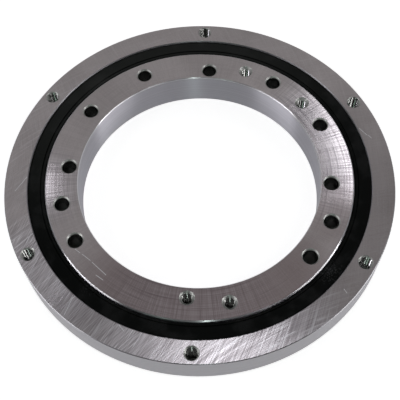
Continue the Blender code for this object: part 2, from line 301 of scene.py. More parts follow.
def ring_grids(holes, skins, faces):
    """A ring's grids: its turned skins, and at each flat face a drilled share round each hole and plain land
    between. holes are (turn, circle, mouth, wall), and faces are (inner, outer, level)."""
    holes = sorted(holes, key=lambda hole: hole[0])
    turns = np.array([hole[0] for hole in holes])
    half_widths = np.array([hole[2] / hole[1] for hole in holes]) + HOLE_MARGIN
    runs = column_runs(turns, half_widths)
    grids = [(turned(skin, all_columns(runs)), True, TURNED) for skin in skins]
    for (turn, circle, mouth, wall), (hole_run, land_run) in zip(holes, runs):
        grids.append((turn_about_z(wall, turn, circle), False, DRILLED))
        for inner, outer, level in faces:
            grids.append((drilled_face(hole_run, turn, circle, mouth, inner, outer, level), True, GROUND))
            distances = np.linspace(inner, outer, SIDE_CELLS + 1)
            outline = np.column_stack([distances, np.full(SIDE_CELLS + 1, level)])
            grids.append((turned(outline, land_run), False, GROUND))
    return grids


# The steel's finishes, in the order of a ring's material slots, then their tones and roughness
GROUND, TURNED, DRILLED = range(3)
CLOUD_TONES = (0.5, 0.457, 0.455, 1), (0.59, 0.542, 0.54, 1)
HAIR_TONES = (0.3, 0.27, 0.29, 1), (0.84, 0.8, 0.83, 1)
DARK_LINES = (0.24, 0.22, 0.24, 1)
LIGHT_LINES = (0.95, 0.93, 0.96, 1)
# Tones of dried oil and painted shade, which darken a ring's face in patches
PINK_OIL_AND_SHADE = (0.18, 0.12, 0.118, 1)
DARK_OIL_AND_SHADE = (0.03, 0.02, 0.022, 1)
# Real scratches, painted pale and without a metal's sheen: a painted glint
SCRATCH_GLINT_TONE = (0.85, 0.85, 0.88, 1)
# Hole walls darker with oil and with painted shade that dims their glints
HOLE_OIL_AND_SHADE_TONES = (0.44, 0.45, 0.43, 1), (0.54, 0.54, 0.53, 1)
SCRATCH_WIDTH = 0.23 * MM
HAIR_SHARES = 0.55, 0.45  # of the first and the second pass of the stone
HAIR_HEIGHT = 0.0002 * MM
FAINT_MARKS = 0.14  # how much of the marks shows outside the marked patches
DULL_ROUGHNESS = 0.58, 0.5
CHAMFER_ROUGHNESS = 0.27
COUNTERSINK_ROUGHNESS = 0.4
HOLE_ROUGHNESS = 0.08


def add(tree, kind, inputs=None, **settings):
    """Adds a shader node with its settings, and links or sets its inputs."""
    node = tree.nodes.new(kind)
    for key, value in settings.items():
        setattr(node, key, value)
    for key, value in (inputs or {}).items():
        if isinstance(value, bpy.types.NodeSocket):
            tree.links.new(value, node.inputs[key])
        else:
            node.inputs[key].default_value = value
    return node


def calc(tree, operation, *values):
    """One step of shader arithmetic on numbers and sockets."""
    return add(tree, "ShaderNodeMath", dict(enumerate(values)), operation=operation).outputs[0]


def noise(tree, place, scale, detail):
    inputs = {"Vector": place, "Scale": scale, "Detail": detail}
    return add(tree, "ShaderNodeTexNoise", inputs).outputs[0]


def blend(tree, factor, low, high):
    """A colour between low and high, which are colours or sockets."""
    mixer = add(tree, "ShaderNodeMix", {0: factor, 6: low, 7: high}, data_type="RGBA")
    return mixer.outputs[2]


def span(tree, value, low, high, to_low=0.0, to_high=1.0):
    """value between low and high becomes to_low to to_high, with soft ends."""
    inputs = {0: value, 1: low, 2: high, 3: to_low, 4: to_high}
    node = add(tree, "ShaderNodeMapRange", inputs, interpolation_type="SMOOTHSTEP")
    return node.outputs[0]


def new_group(name, inputs, outputs):
    """An empty shader node group with these inputs, {name: (kind, default)}, and value outputs."""
    tree = bpy.data.node_groups.new(name, "ShaderNodeTree")
    for label, (kind, default) in inputs.items():
        socket = tree.interface.new_socket(label, in_out="INPUT", socket_type=kind)
        socket.default_value = default
    for label in outputs:
        tree.interface.new_socket(label, in_out="OUTPUT", socket_type="NodeSocketFloat")
    start = tree.nodes.new("NodeGroupInput")
    end = tree.nodes.new("NodeGroupOutput")
    return tree, start.outputs, end.inputs


def make_grinding_marks():
    """Marks of a grinding stone: noise drawn out along arcs about a centre. The distance from the centre,
    over the spacing, is one coordinate, and a share of the turn about it, over the length, is the other.
    Hairs are that noise itself. Lines run where a coarser noise passes its middle value, and are broken off
    where a third noise, which isn't drawn out so far, is low."""
    inputs = {
        "Place": ("NodeSocketVector", (0, 0, 0)),
        "Centre": ("NodeSocketVector", (0, 0, 0)),
        "Spacing": ("NodeSocketFloat", MM),
        "Length": ("NodeSocketFloat", 0.1),
        "Seed": ("NodeSocketFloat", 0.0),
    }
    tree, given, result = new_group("grinding_marks", inputs, ["Hairs", "Lines"])
    offset = add(tree, "ShaderNodeVectorMath", {0: given["Place"], 1: given["Centre"]}, operation="SUBTRACT")
    level = add(tree, "ShaderNodeVectorMath", {0: offset.outputs[0], 1: (1, 1, 0)}, operation="MULTIPLY")
    distance = add(tree, "ShaderNodeVectorMath", {0: level.outputs[0]}, operation="LENGTH").outputs["Value"]
    parts = add(tree, "ShaderNodeSeparateXYZ", {0: level.outputs[0]}).outputs
    turn = calc(tree, "ARCTAN2", parts[1], parts[0])
    across = calc(tree, "DIVIDE", distance, given["Spacing"])
    along = calc(tree, "DIVIDE", turn, given["Length"])
    near = add(tree, "ShaderNodeCombineXYZ", {0: across, 1: along, 2: given["Seed"]}).outputs[0]
    drawn = add(tree, "ShaderNodeVectorMath", {0: near, 1: (1, 0.2, 1)}, operation="MULTIPLY").outputs[0]
    fine = noise(tree, drawn, 1.6, 1.0)
    coarse = noise(tree, drawn, 0.9, 0.0)
    breaks = noise(tree, near, 0.6, 0.0)
    off_middle = calc(tree, "ABSOLUTE", calc(tree, "SUBTRACT", coarse, 0.5))
    line = span(tree, off_middle, 0.0, 0.08, 1.0, 0.0)
    tree.links.new(span(tree, fine, 0.25, 0.75), result["Hairs"])
    tree.links.new(calc(tree, "MULTIPLY", line, span(tree, breaks, 0.45, 0.6)), result["Lines"])
    return tree


grinding_marks = make_grinding_marks()


def marks(tree, place, centre, spacing, length, seed):
    """Outputs of the marks of one pass of the stone."""
    inputs = {"Place": place, "Centre": centre, "Spacing": spacing, "Length": length, "Seed": seed}
    return add(tree, "ShaderNodeGroup", inputs, node_tree=grinding_marks).outputs


def new_material(name, metallic, **constants):
    """A material with one Principled shader and these constants on its sockets."""
    material = bpy.data.materials.new(name)
    material.use_nodes = True
    tree = material.node_tree
    shader = tree.nodes["Principled BSDF"]
    shader.inputs["Metallic"].default_value = metallic
    for label, value in constants.items():
        shader.inputs[label].default_value = value
    place = add(tree, "ShaderNodeTexCoord").outputs["Object"]
    return material, tree, shader.inputs, place


def bumped(tree, height, distance):
    inputs = {"Height": height, "Distance": distance, "Strength": 1.0}
    return add(tree, "ShaderNodeBump", inputs).outputs[0]


def patch(tree, place, turn, radius, inner, outer, strength=1.0):
    """A mask of this strength up to `inner` from the place at this turn and radius, and 0 beyond `outer`."""
    centre = radius * toward(radians(turn), 0) + Vector((0, 0, race_level))
    away = add(tree, "ShaderNodeVectorMath", {0: place, 1: centre}, operation="DISTANCE").outputs["Value"]
    return span(tree, away, inner, outer, strength, 0.0)


def patches(tree, place, spots, elsewhere=0.0):
    """A mask that is the strongest of these patches, and no less than `elsewhere`."""
    mask = elsewhere
    for spot in spots:
        mask = calc(tree, "MAXIMUM", mask, patch(tree, place, *spot))
    return mask


def scratch(tree, place, start, end, level):
    """A mask over one scratch: 1 on the straight from start to end and 0 from its width off. The nearest
    point of the straight is at the share dot(place - start, run) / dot(run, run) of it, kept to 0 to 1."""
    start = Vector((*start, level * 1000)) * MM
    run = Vector((*end, level * 1000)) * MM - start
    offset = add(tree, "ShaderNodeVectorMath", {0: place, 1: start}, operation="SUBTRACT").outputs[0]
    dot = add(tree, "ShaderNodeVectorMath", {0: offset, 1: run}, operation="DOT_PRODUCT").outputs["Value"]
    share = calc(tree, "DIVIDE", dot, run.dot(run))
    share.node.use_clamp = True
    nearest = add(tree, "ShaderNodeVectorMath", {0: run, 3: share}, operation="SCALE").outputs[0]
    away = add(tree, "ShaderNodeVectorMath", {0: offset, 1: nearest}, operation="DISTANCE").outputs["Value"]
    return span(tree, away, SCRATCH_WIDTH / 2, SCRATCH_WIDTH, 1.0, 0.0)


def ground_steel(name, passes, line_tone, oil_and_shade_tone, finer, bright, marked, shade_and_oil_patches, scratches, level):
    """Steel ground flat in two passes of the stone, each (centre, spacing, length). Its marks show in the
    marked patches and faintly elsewhere, and a darker tone of dried oil and painted shade lies over the
    shade-and-oil patches. Where the stone passed last, in the bright patches, the roughness is about
    `finer`. Scratches are real marks painted pale, without a metal's sheen, as a painted glint."""
    material, tree, shader, place = new_material(name, 1.0)
    shown = patches(tree, place, marked, elsewhere=FAINT_MARKS)
    first, second = [marks(tree, place, *stone, seed) for stone, seed in zip(passes, (3.0, 7.0))]
    first_hairs = calc(tree, "MULTIPLY", first["Hairs"], HAIR_SHARES[0])
    second_hairs = calc(tree, "MULTIPLY", second["Hairs"], HAIR_SHARES[1])
    hairs = calc(tree, "ADD", first_hairs, second_hairs)
    lines = calc(tree, "MAXIMUM", first["Lines"], second["Lines"])
    grain = noise(tree, place, 900.0, 2.0)
    cloud = noise(tree, place, 26.0, 2.0)
    tone = calc(tree, "ADD", calc(tree, "MULTIPLY", grain, 0.3), calc(tree, "MULTIPLY", cloud, 0.7))
    plain = blend(tree, span(tree, tone, 0.35, 0.65), *CLOUD_TONES)
    haired = blend(tree, hairs, *HAIR_TONES)
    worked = blend(tree, calc(tree, "MULTIPLY", shown, 0.85), plain, haired)
    lined = blend(tree, calc(tree, "MULTIPLY", lines, calc(tree, "MULTIPLY", shown, 0.8)), worked, line_tone)
    # Dried oil and painted shade: these patches darken the face towards that tone
    darkened_by_oil_and_shade = blend(tree, patches(tree, place, shade_and_oil_patches), lined, oil_and_shade_tone)
    cut = 0.0
    for start, end in scratches:
        cut = calc(tree, "MAXIMUM", cut, scratch(tree, place, start, end, level))
    # The scratches are real marks; their pale tone without a metal's sheen is a painted glint
    tree.links.new(blend(tree, cut, darkened_by_oil_and_shade, SCRATCH_GLINT_TONE), shader["Base Color"])
    tree.links.new(calc(tree, "SUBTRACT", 1.0, cut), shader["Metallic"])
    dull = span(tree, tone, 0.3, 0.7, *DULL_ROUGHNESS)
    uneven = calc(tree, "SUBTRACT", finer + 0.04, calc(tree, "MULTIPLY", hairs, 0.08))
    fine = patches(tree, place, bright)
    roughness = add(tree, "ShaderNodeMix", {0: fine, 2: dull, 3: uneven}, data_type="FLOAT").outputs[0]
    tree.links.new(roughness, shader["Roughness"])
    tree.links.new(bumped(tree, calc(tree, "MULTIPLY", hairs, shown), HAIR_HEIGHT), shader["Normal"])
    return material


def walls(tree, place, foot, top, chamfer):
    """A mask that is 1 between the chamfers at the foot and the top, and 0 on them."""
    height = add(tree, "ShaderNodeSeparateXYZ", {0: place}).outputs["Z"]
    off_middle = calc(tree, "ABSOLUTE", calc(tree, "SUBTRACT", height, (foot + top) / 2))
    return calc(tree, "LESS_THAN", off_middle, (top - foot) / 2 - chamfer)


def turned_steel(name, dark, light, edge, grooves, roughness, foot, top, chamfer):
    """Steel as the turning tool leaves it. Fine grooves round the axis draw a reflection out along the axis,
    into a long narrow streak, and bands of slightly different cut run round with them. The chamfers are
    finer, and their own tone is painted light: lighter than the cut for a painted highlight, darker for
    painted shade."""
    material, tree, shader, place = new_material(name, 1.0, Anisotropic=grooves)
    shader["Anisotropic Rotation"].default_value = 0.25
    stretch = add(tree, "ShaderNodeMapping", {0: place, 3: (5, 5, 1500)})
    bands = noise(tree, stretch.outputs[0], 1.0, 2.0)
    wall = walls(tree, place, foot, top, chamfer)
    cut = blend(tree, span(tree, bands, 0.3, 0.7), dark, light)
    # The chamfers' tone is painted light: a light one brightens their glints, a dark one dims them
    tree.links.new(blend(tree, wall, edge, cut), shader["Base Color"])
    rough = calc(tree, "MULTIPLY", bands, 0.1)
    rough = calc(tree, "ADD", rough, span(tree, wall, 0.0, 1.0, CHAMFER_ROUGHNESS, roughness - 0.05))
    tree.links.new(rough, shader["Roughness"])
    return material


def drilled_steel(name, foot, top, chamfer):
    """The wall of a drilled or tapped hole: oily and dull on the countersinks, and darker with oil and with
    painted shade that dims its glints.
    """
    material, tree, shader, place = new_material(name, 1.0)
    grain = noise(tree, place, 2500.0, 2.0)
    # Darker tone of the hole walls: oil and painted shade
    tree.links.new(blend(tree, grain, *HOLE_OIL_AND_SHADE_TONES), shader["Base Color"])
    wall = walls(tree, place, foot, top, chamfer)
    rough = calc(tree, "MULTIPLY", grain, 0.1)
    rough = calc(tree, "ADD", rough, span(tree, wall, 0.0, 1.0, COUNTERSINK_ROUGHNESS, HOLE_ROUGHNESS))
    tree.links.new(rough, shader["Roughness"])
    return material


# The stone's passes: centre, spacing of its marks, and their length as an angle about the centre
INNER_PASSES = [((0, 0, 0), 60 * MM, 0.0026), ((0, 0, 0), 1.1 * MM, 0.2)]
# Patches: turn, distance from the axis, where each starts and stops fading, and its strength if not 1
INNER_BRIGHT = [(106, 112 * MM, 40 * MM, 80 * MM), (276, 118 * MM, 10 * MM, 50 * MM)]
INNER_MARKED = [
    (106, 112 * MM, 40 * MM, 85 * MM),
    (0, 100 * MM, 20 * MM, 90 * MM, 0.8),
    (276, 118 * MM, 10 * MM, 50 * MM),
]
# Patches of dried oil and painted shade, which darken the face
INNER_OIL_AND_SHADE = [
    (5, 100 * MM, 65 * MM, 110 * MM, 0.55),
    (72, 100 * MM, 10 * MM, 45 * MM, 0.35),
    (322, 100 * MM, 5 * MM, 30 * MM, 0.3),
]
# Tones of the turned walls, darkest and lightest cut and chamfers; the chamfers' light tone is a painted
# highlight
BORE_TONES_WITH_PAINTED_HIGHLIGHT = (0.5, 0.49, 0.535, 1), (0.58, 0.57, 0.62, 1), (0.84, 0.83, 0.86, 1)
# Scratches on the face, as (x, y) in millimetres from one end to the other
INNER_SCRATCHES = [
    ((-82.9, -61.3), (-79.1, -64.2)),
    ((-77.7, -64.9), (-71.5, -69.6)),
    ((-70.0, -71.0), (-59.8, -80.0)),
    ((-66.5, -80.2), (-61.4, -83.7)),
]


def make_inner_ring():
    plain = plain_wall(PLAIN_RADIUS, PLAIN_MOUTH, inner_foot, inner_top)
    tapped = threaded_wall(M8_CORE, M8_MAJOR, M8_PITCH, M8_MOUTH, inner_foot, inner_top)
    kinds = [
        ("inner_bolt_hole", PLAIN_MOUTH, plain),
        ("inner_locating_hole", PLAIN_MOUTH, plain),
        ("inner_m8", M8_MOUTH, tapped),
    ]
    holes = [(*place, mouth, wall) for name, mouth, wall in kinds for place in zip(*hole_places(name))]
    shelf = race_arch(-1)[0, 1] + LAND_HEIGHT
    upper = eased([
        (wall_radius - LEAD_IN_CHAMFER, inner_top),
        (wall_radius, inner_top - LEAD_IN_CHAMFER),
        (wall_radius, shelf),
        (inner_land, shelf),
    ])
    foot_edge = (wall_radius - LEAD_IN_CHAMFER, inner_foot)
    outside = np.vstack([upper, race_arch(-1), mirrored(upper)[:-1], foot_edge])
    bore = eased([
        (bore_radius + BORE_CHAMFER, inner_foot),
        (bore_radius, inner_foot + BORE_CHAMFER),
        (bore_radius, inner_top - BORE_CHAMFER),
        (bore_radius + BORE_CHAMFER, inner_top),
    ])
    inner, outer = bore_radius + BORE_CHAMFER, wall_radius - LEAD_IN_CHAMFER
    faces = [(inner, outer, inner_foot), (inner, outer, inner_top)]
    finishes = [
        ground_steel("inner_ring_ground", INNER_PASSES, DARK_LINES, PINK_OIL_AND_SHADE, finer=0.17,
                     bright=INNER_BRIGHT, marked=INNER_MARKED, shade_and_oil_patches=INNER_OIL_AND_SHADE,
                     scratches=INNER_SCRATCHES, level=inner_top),
        turned_steel("inner_ring_turned", *BORE_TONES_WITH_PAINTED_HIGHLIGHT, grooves=1.0, roughness=0.41,
                     foot=inner_foot, top=inner_top, chamfer=LEAD_IN_CHAMFER + EASE),
        drilled_steel("inner_ring_drilled", inner_foot, inner_top, chamfer=M8_MOUTH - M8_CORE),
    ]
    ring = welded("inner_ring_body", ring_grids(holes, [outside, bore], faces), finishes)
    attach(ring, "inner")
    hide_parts("inner_ring")


make_inner_ring()


# Ball cage: a one-piece band moulded in natural polyamide, with a round pocket through it for each ball.
# It floats between the two lands, and the balls carry it round.

CAGE_THICKNESS = 2.4 * MM
CAGE_EASE = 0.35 * MM
CAGE_EDGE = 0.8 * MM  # the part of the band's height that its rounded edges take
POCKET_GAP = 0.35 * MM


def ball_centres():
    """The balls' names in order, and the centre of each one's box."""
    names = sorted(node for node in frame["nodes"] if node.startswith("ball_") and node != "ball_cage")
    boxes = np.array([[list(corner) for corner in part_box(name)] for name in names])
    return names, boxes.mean(axis=1)


def pocket_rim(radius):
    """A pocket's edge on the cylinder of this radius, as (turn, height) from the pocket's middle: the height
    is the pocket's radius times a cosine, and the sine of the turn is that radius times a sine, over the
    cylinder's radius."""
    pocket = ball_radius + POCKET_GAP
    return np.arcsin(pocket * np.sin(hole_angles()) / radius), pocket * np.cos(hole_angles())


def on_cylinder(turns, heights, radius):
    return np.stack([radius * np.cos(turns), radius * np.sin(turns), heights], axis=-1)


def windowed_band(turn, half_width, radius, foot, top):
    """Rows that grow evenly from a pocket's edge to the border of its share of the band."""
    run = [turn - half_width, turn + half_width]
    border_turns, border_heights = around_hole(run, foot, top)
    rim_turns, rim_heights = pocket_rim(radius)
    share = np.linspace(0, 1, FACE_STEPS + 1)[:, None]
    turns = (1 - share) * (turn + rim_turns) + share * border_turns
    heights = (1 - share) * (race_level + rim_heights) + share * border_heights
    return on_cylinder(turns, heights, radius)


def moulded_polyamide():
    """Uncoloured nylon: cream white, waxy, with the faint cloudiness of a thick moulding."""
    material, tree, shader, place = new_material("cage_polyamide", 0.0, Roughness=0.42)
    shader["Subsurface Weight"].default_value = 0.15
    shader["Subsurface Radius"].default_value = (1 * MM, 0.8 * MM, 0.5 * MM)
    cloud = noise(tree, place, 300.0, 3.0)
    tree.links.new(blend(tree, cloud, (0.66, 0.6, 0.44, 1), (0.78, 0.73, 0.58, 1)), shader["Base Color"])
    tree.links.new(bumped(tree, cloud, 0.05 * MM), shader["Normal"])
    return material


def make_cage():
    names, centres = ball_centres()
    turns = np.arctan2(centres[:, 1], centres[:, 0])
    half_width = pi / len(turns)
    outer = reach_of("ball_cage")[1]
    inner = outer - CAGE_THICKNESS
    foot, top = reach_of("ball_cage")[2:]
    low, high = foot + CAGE_EDGE, top - CAGE_EDGE
    grids = []
    for turn in turns:
        rims = [on_cylinder(turn + pocket_rim(radius)[0], race_level + pocket_rim(radius)[1], radius)
                for radius in (inner, outer)]
        grids.append((np.stack(rims), True, 0))
        for radius in (inner, outer):
            grids.append((windowed_band(turn, half_width, radius, low, high), True, 0))
    shares = [np.linspace(turn - half_width, turn + half_width, SIDE_CELLS + 1) for turn in turns]
    columns = all_columns([(share,) for share in shares])
    edge = eased([(inner, high), (inner, top), (outer, top), (outer, high)], CAGE_EASE)
    grids += [(turned(outline, columns), True, 0) for outline in (edge, mirrored(edge))]
    cage = welded("ball_cage_body", grids, [moulded_polyamide()])
    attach(cage, "cage")
    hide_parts("ball_cage")


make_cage()


# Balls: thirty-six stock balls of hardened bearing steel, lapped to a mirror. Each rolls by itself.

BALL_ROWS = 20
BALL_COLUMNS = 40


def ball_grid(centre):
    """A sphere: the polar angle runs down the rows from 0 to pi and the turn runs along the columns."""
    polar = np.linspace(0, pi, BALL_ROWS + 1)
    outline = np.column_stack([ball_radius * np.sin(polar), ball_radius * np.cos(polar)])
    return turned(outline, even_angles(BALL_COLUMNS)) + centre


def lapped_steel():
    material, tree, shader, place = new_material("ball_steel", 1.0)
    haze = noise(tree, place, 900.0, 2.0)
    tree.links.new(blend(tree, haze, (0.7, 0.7, 0.71, 1), (0.78, 0.78, 0.79, 1)), shader["Base Color"])
    tree.links.new(span(tree, haze, 0.3, 0.7, 0.05, 0.11), shader["Roughness"])
    return material


def make_balls():
    finish = lapped_steel()
    for name, centre in zip(*ball_centres()):
        ball = welded(f"{name}_body", [(ball_grid(centre), True, 0)], [finish])
        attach(ball, f"rolling_{name}")
        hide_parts(name)


make_balls()


# Outer ring: one ring of bearing steel like the inner one, with six tapped holes right through it. Its race
# is closed above and below by pockets, whose undercuts hold the seals. A radial hole lets the balls in.

OUTER_RING_SECTION = 16.4 * MM  # from the seals' seat out to the rim
EDGE_CHAMFER = 0.5 * MM
UNDERCUT_DEPTH = 1.3 * MM
UNDERCUT_HEIGHT = 1.8 * MM
M10_CORE = 4.25 * MM
M10_MAJOR = 5 * MM
M10_MOUTH = 5.25 * MM
M10_PITCH = 1.5 * MM

OUTER_PASSES = [((-0.272, -0.003, 0), 0.9 * MM, 0.04), ((0.202, -0.374, 0), 1 * MM, 0.035)]
OUTER_BRIGHT = [(9, 132 * MM, 40 * MM, 90 * MM), (318, 136 * MM, 10 * MM, 40 * MM)]
OUTER_MARKED = [
    (5, 132 * MM, 60 * MM, 120 * MM),
    (310, 132 * MM, 30 * MM, 70 * MM),
    (268, 132 * MM, 60 * MM, 140 * MM, 0.23),
]
# Patches of dried oil and painted shade, which darken the face
OUTER_OIL_AND_SHADE = [
    (70, 132 * MM, 50 * MM, 150 * MM, 0.36),
    (329, 130 * MM, 5 * MM, 35 * MM, 0.4),
    (153, 132 * MM, 25 * MM, 70 * MM, 0.12),
]
# Tones of the rim, darkest and lightest cut and chamfers; the chamfers' dark tone is painted shade that dims
# their glints
RIM_TONES_WITH_PAINTED_SHADE = (0.5, 0.488, 0.515, 1), (0.56, 0.547, 0.575, 1), (0.3, 0.293, 0.31, 1)
OUTER_SCRATCHES = [
    ((-47.9, -115.0), (-44.3, -119.0)),
    ((-84.5, -109.2), (-80.1, -96.5)),
    ((117.4, 42.7), (122.8, 36.6)),
    ((123.6, 36.7), (125.9, 34.1)),
    ((-131.1, -17.1), (-124.2, -5.3)),
    ((99.0, -85.9), (100.8, -88.7)),
]

seat_radius = rim_radius - OUTER_RING_SECTION
shelf_level = race_arch(1)[0, 1] + LAND_HEIGHT


def make_outer_ring():
    wall = threaded_wall(M10_CORE, M10_MAJOR, M10_PITCH, M10_MOUTH, outer_foot, outer_top)
    holes = [(turn, circle, M10_MOUTH, wall) for turn, circle in zip(*hole_places("outer_m10_hole"))]
    undercut = seat_radius + UNDERCUT_DEPTH
    upper = eased([
        (seat_radius + EDGE_CHAMFER, outer_top),
        (seat_radius, outer_top - EDGE_CHAMFER),
        (seat_radius, shelf_level + UNDERCUT_HEIGHT),
        (undercut, shelf_level + UNDERCUT_HEIGHT),
        (undercut, shelf_level),
        (outer_land, shelf_level),
    ])
    inside = np.vstack([upper, race_arch(1), mirrored(upper)])
    rim = eased([
        (rim_radius - EDGE_CHAMFER, outer_foot),
        (rim_radius, outer_foot + EDGE_CHAMFER),
        (rim_radius, outer_top - EDGE_CHAMFER),
        (rim_radius - EDGE_CHAMFER, outer_top),
    ])
    inner, outer = seat_radius + EDGE_CHAMFER, rim_radius - EDGE_CHAMFER
    faces = [(inner, outer, outer_foot), (inner, outer, outer_top)]
    finishes = [
        ground_steel("outer_ring_ground", OUTER_PASSES, LIGHT_LINES, DARK_OIL_AND_SHADE, finer=0.27,
                     bright=OUTER_BRIGHT, marked=OUTER_MARKED, shade_and_oil_patches=OUTER_OIL_AND_SHADE,
                     scratches=OUTER_SCRATCHES, level=outer_top),
        turned_steel("outer_ring_turned", *RIM_TONES_WITH_PAINTED_SHADE, grooves=0.3, roughness=0.6,
                     foot=outer_foot, top=outer_top, chamfer=EDGE_CHAMFER + EASE),
        drilled_steel("outer_ring_drilled", outer_foot, outer_top, chamfer=M10_MOUTH - M10_CORE),
    ]
    ring = welded("outer_ring_body", ring_grids(holes, [inside, rim], faces), finishes)
    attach(ring, "outer")
    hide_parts("outer_ring")
    return ring


outer_ring = make_outer_ring()


# Fill plug: once the balls are in, a plug of the same steel closes the radial hole. It is ground with the
# ring, so its inner end carries the race on and its outer end is flush with the rim.

PLUG_NODE_LOW, PLUG_NODE_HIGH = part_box("fill_plug")
LOADING_RADIUS = 7.5 * MM
PLUG_FIT = 0.1 * MM
PLUG_COLUMNS = 96
ROD_OVERRUN = 2 * MM

plug_middle = (PLUG_NODE_LOW + PLUG_NODE_HIGH) / 2
plug_turn = np.arctan2(plug_middle.y, plug_middle.x)


def radial_rod(name, radius, finish, finishes):
    """A round rod along the plug's radius, from the balls' pitch circle to beyond the rim."""
    near, far = pitch_radius, rim_radius + ROD_OVERRUN
    upright = turned([(0, near), (radius, near), (radius, far), (0, far)], even_angles(PLUG_COLUMNS))
    lying = np.stack([upright[..., 2], upright[..., 0], upright[..., 1] + race_level], axis=-1)
    return welded(name, [(turn_about_z(lying, plug_turn), True, finish)], finishes)


def combine(piece, tool, operation):
    """Applies an exact Boolean of the piece with the tool."""
    step = piece.modifiers.new(operation, "BOOLEAN")
    step.operation = operation
    step.solver = "EXACT"
    step.object = tool
    whole = piece.evaluated_get(bpy.context.evaluated_depsgraph_get())
    piece.modifiers.remove(step)
    old, piece.data = piece.data, bpy.data.meshes.new_from_object(whole)
    bpy.data.meshes.remove(old)
    piece.data.shade_smooth()
    piece.data.set_sharp_from_angle(angle=SHARP)


def cut_away(piece, tool):
    combine(piece, tool, "DIFFERENCE")
    bpy.data.objects.remove(tool)


def make_fill_plug():
    finishes = list(outer_ring.data.materials)
    plug = radial_rod("fill_plug_body", LOADING_RADIUS - PLUG_FIT, TURNED, finishes)
    combine(plug, outer_ring, "INTERSECT")
    cut_away(outer_ring, radial_rod("loading_hole", LOADING_RADIUS, DRILLED, finishes))
    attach(plug, "outer")
    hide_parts("fill_plug")
    return plug


fill_plug = make_fill_plug()


# Taper pin: a drawn steel pin, driven up through the ring and the plug from the underside and dressed off
# flush, so that the plug can't turn or creep out.

PIN_LOW, PIN_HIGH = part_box("plug_taper_pin")
PIN_TAPER = 1 / 50
PIN_FIT = 0.05 * MM
PIN_EASE = 0.25 * MM
PIN_TONES = (0.3, 0.3, 0.31, 1), (0.42, 0.42, 0.43, 1), (0.42, 0.42, 0.43, 1)

pin_foot_radius = (PIN_HIGH.x - PIN_LOW.x) / 2
pin_place = (PIN_LOW + PIN_HIGH) / 2


def pin_outline(growth, foot, top, ease):
    """The pin's radius falls by half its taper as it rises, and growth widens it for its hole."""
    low = pin_foot_radius + growth
    high = low - PIN_TAPER * (top - foot) / 2
    return eased([(0, foot), (low, foot), (high, top), (0, top)], ease)


def pin_rod(name, outline, finish, finishes):
    grid = turned(outline, even_angles(HOLE_COLUMNS)) + [pin_place.x, pin_place.y, 0]
    return welded(name, [(grid, True, finish)], finishes)


def make_taper_pin():
    finishes = list(outer_ring.data.materials)
    for piece in (outer_ring, fill_plug):
        hole = pin_outline(PIN_FIT, PIN_LOW.z - ROD_OVERRUN, PIN_HIGH.z + PIN_FIT, EASE)
        cut_away(piece, pin_rod("pin_hole", hole, DRILLED, finishes))
    material = turned_steel("pin_steel", *PIN_TONES, grooves=0.5, roughness=0.4,
                            foot=PIN_LOW.z, top=PIN_HIGH.z, chamfer=PIN_EASE)
    pin = pin_rod("plug_taper_pin_body", pin_outline(0, PIN_LOW.z, PIN_HIGH.z, PIN_EASE), 0, [material])
    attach(pin, "outer")
    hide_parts("plug_taper_pin")


make_taper_pin()


# Seals: a ring of black nitrile rubber over each side of the gap. A beaded foot snaps into the outer ring's
# undercut. Inside a thin hinge groove the web goes on as a lip, which runs close to the inner ring's wall.

SEAT_GAP = 0.3 * MM
SEAL_RECESS = 1 * MM  # the seal's flat below the outer ring's face
WEB_THICKNESS = 1.9 * MM
FOOT_WIDTH = 2.6 * MM
FOOT_TAPER = 1.4 * MM
GROOVE_WIDTH = 0.9 * MM
GROOVE_DEPTH = 0.6 * MM
LIP_WIDTH = 2.15 * MM
LIP_EDGE_WIDTH = 0.5 * MM
LIP_DROP = 0.4 * MM
LIP_THICKNESS = 1.2 * MM
LIP_FLOOR_GAP = 0.7 * MM
LIP_GAP = 0.4 * MM
SEAL_STEP = radians(1)


def seal_outline():
    """The upper seal's outline, from the middle of its flat in to the lip, back along the underside and up
    the foot to the flat again."""
    flat = outer_top - SEAL_RECESS
    web_under = flat - WEB_THICKNESS
    floor = shelf_level + SEAT_GAP
    rim = seat_radius - SEAT_GAP
    bead = rim + UNDERCUT_DEPTH
    bead_top = floor + UNDERCUT_HEIGHT - 2 * SEAT_GAP
    foot = rim - FOOT_WIDTH
    tip = wall_radius + LIP_GAP
    tip_foot = shelf_level + LIP_FLOOR_GAP
    edge = tip + LIP_EDGE_WIDTH
    groove_inner = tip + LIP_WIDTH
    groove_outer = groove_inner + GROOVE_WIDTH
    half_lip = LIP_THICKNESS / 2
    middle_of_flat = ((rim + groove_outer) / 2, flat)
    return eased([
        middle_of_flat,
        (groove_outer, flat),
        ((groove_inner + groove_outer) / 2, flat - GROOVE_DEPTH),
        (groove_inner, flat),
        (edge, flat - LIP_DROP),
        (tip, tip_foot + half_lip),
        (tip + half_lip, tip_foot),
        (edge + half_lip, flat - LIP_DROP - LIP_THICKNESS),
        (groove_outer, web_under),
        (foot - FOOT_TAPER, web_under),
        (foot, floor),
        (bead, floor),
        (bead, bead_top),
        (rim, bead_top),
        (rim, flat),
        middle_of_flat,
    ])


# Patches on the upper seal: turn, distance from the axis, and where it starts and stops fading
GREASE = [
    (322, 114.5 * MM, 4 * MM, 15 * MM),
    (51, 117 * MM, 4 * MM, 18 * MM),
    (16, 116 * MM, 2 * MM, 8 * MM),
]
OIL = [(226, 112 * MM, 4 * MM, 20 * MM)]
# A lighter far left side of the seal: dust and painted light
FAR_SIDE_DUST_AND_LIGHT = [(205, 120 * MM, 60 * MM, 190 * MM)]
SEAT_SHADE = 1.5 * MM, 0.7 * MM  # off the seat, where the painted shadow beside the outer ring starts and stops fading in
RUBBER_TONE = (0.001, 0.0016, 0.0013, 1)
# The lighter tone of dust and painted light on the far left side
DUST_AND_LIGHT_TONE = (0.0175, 0.019, 0.0177, 1)
SMEAR_TONE = (0.05, 0.05, 0.051, 1)
SPECK_TONE = (0.12, 0.12, 0.125, 1)


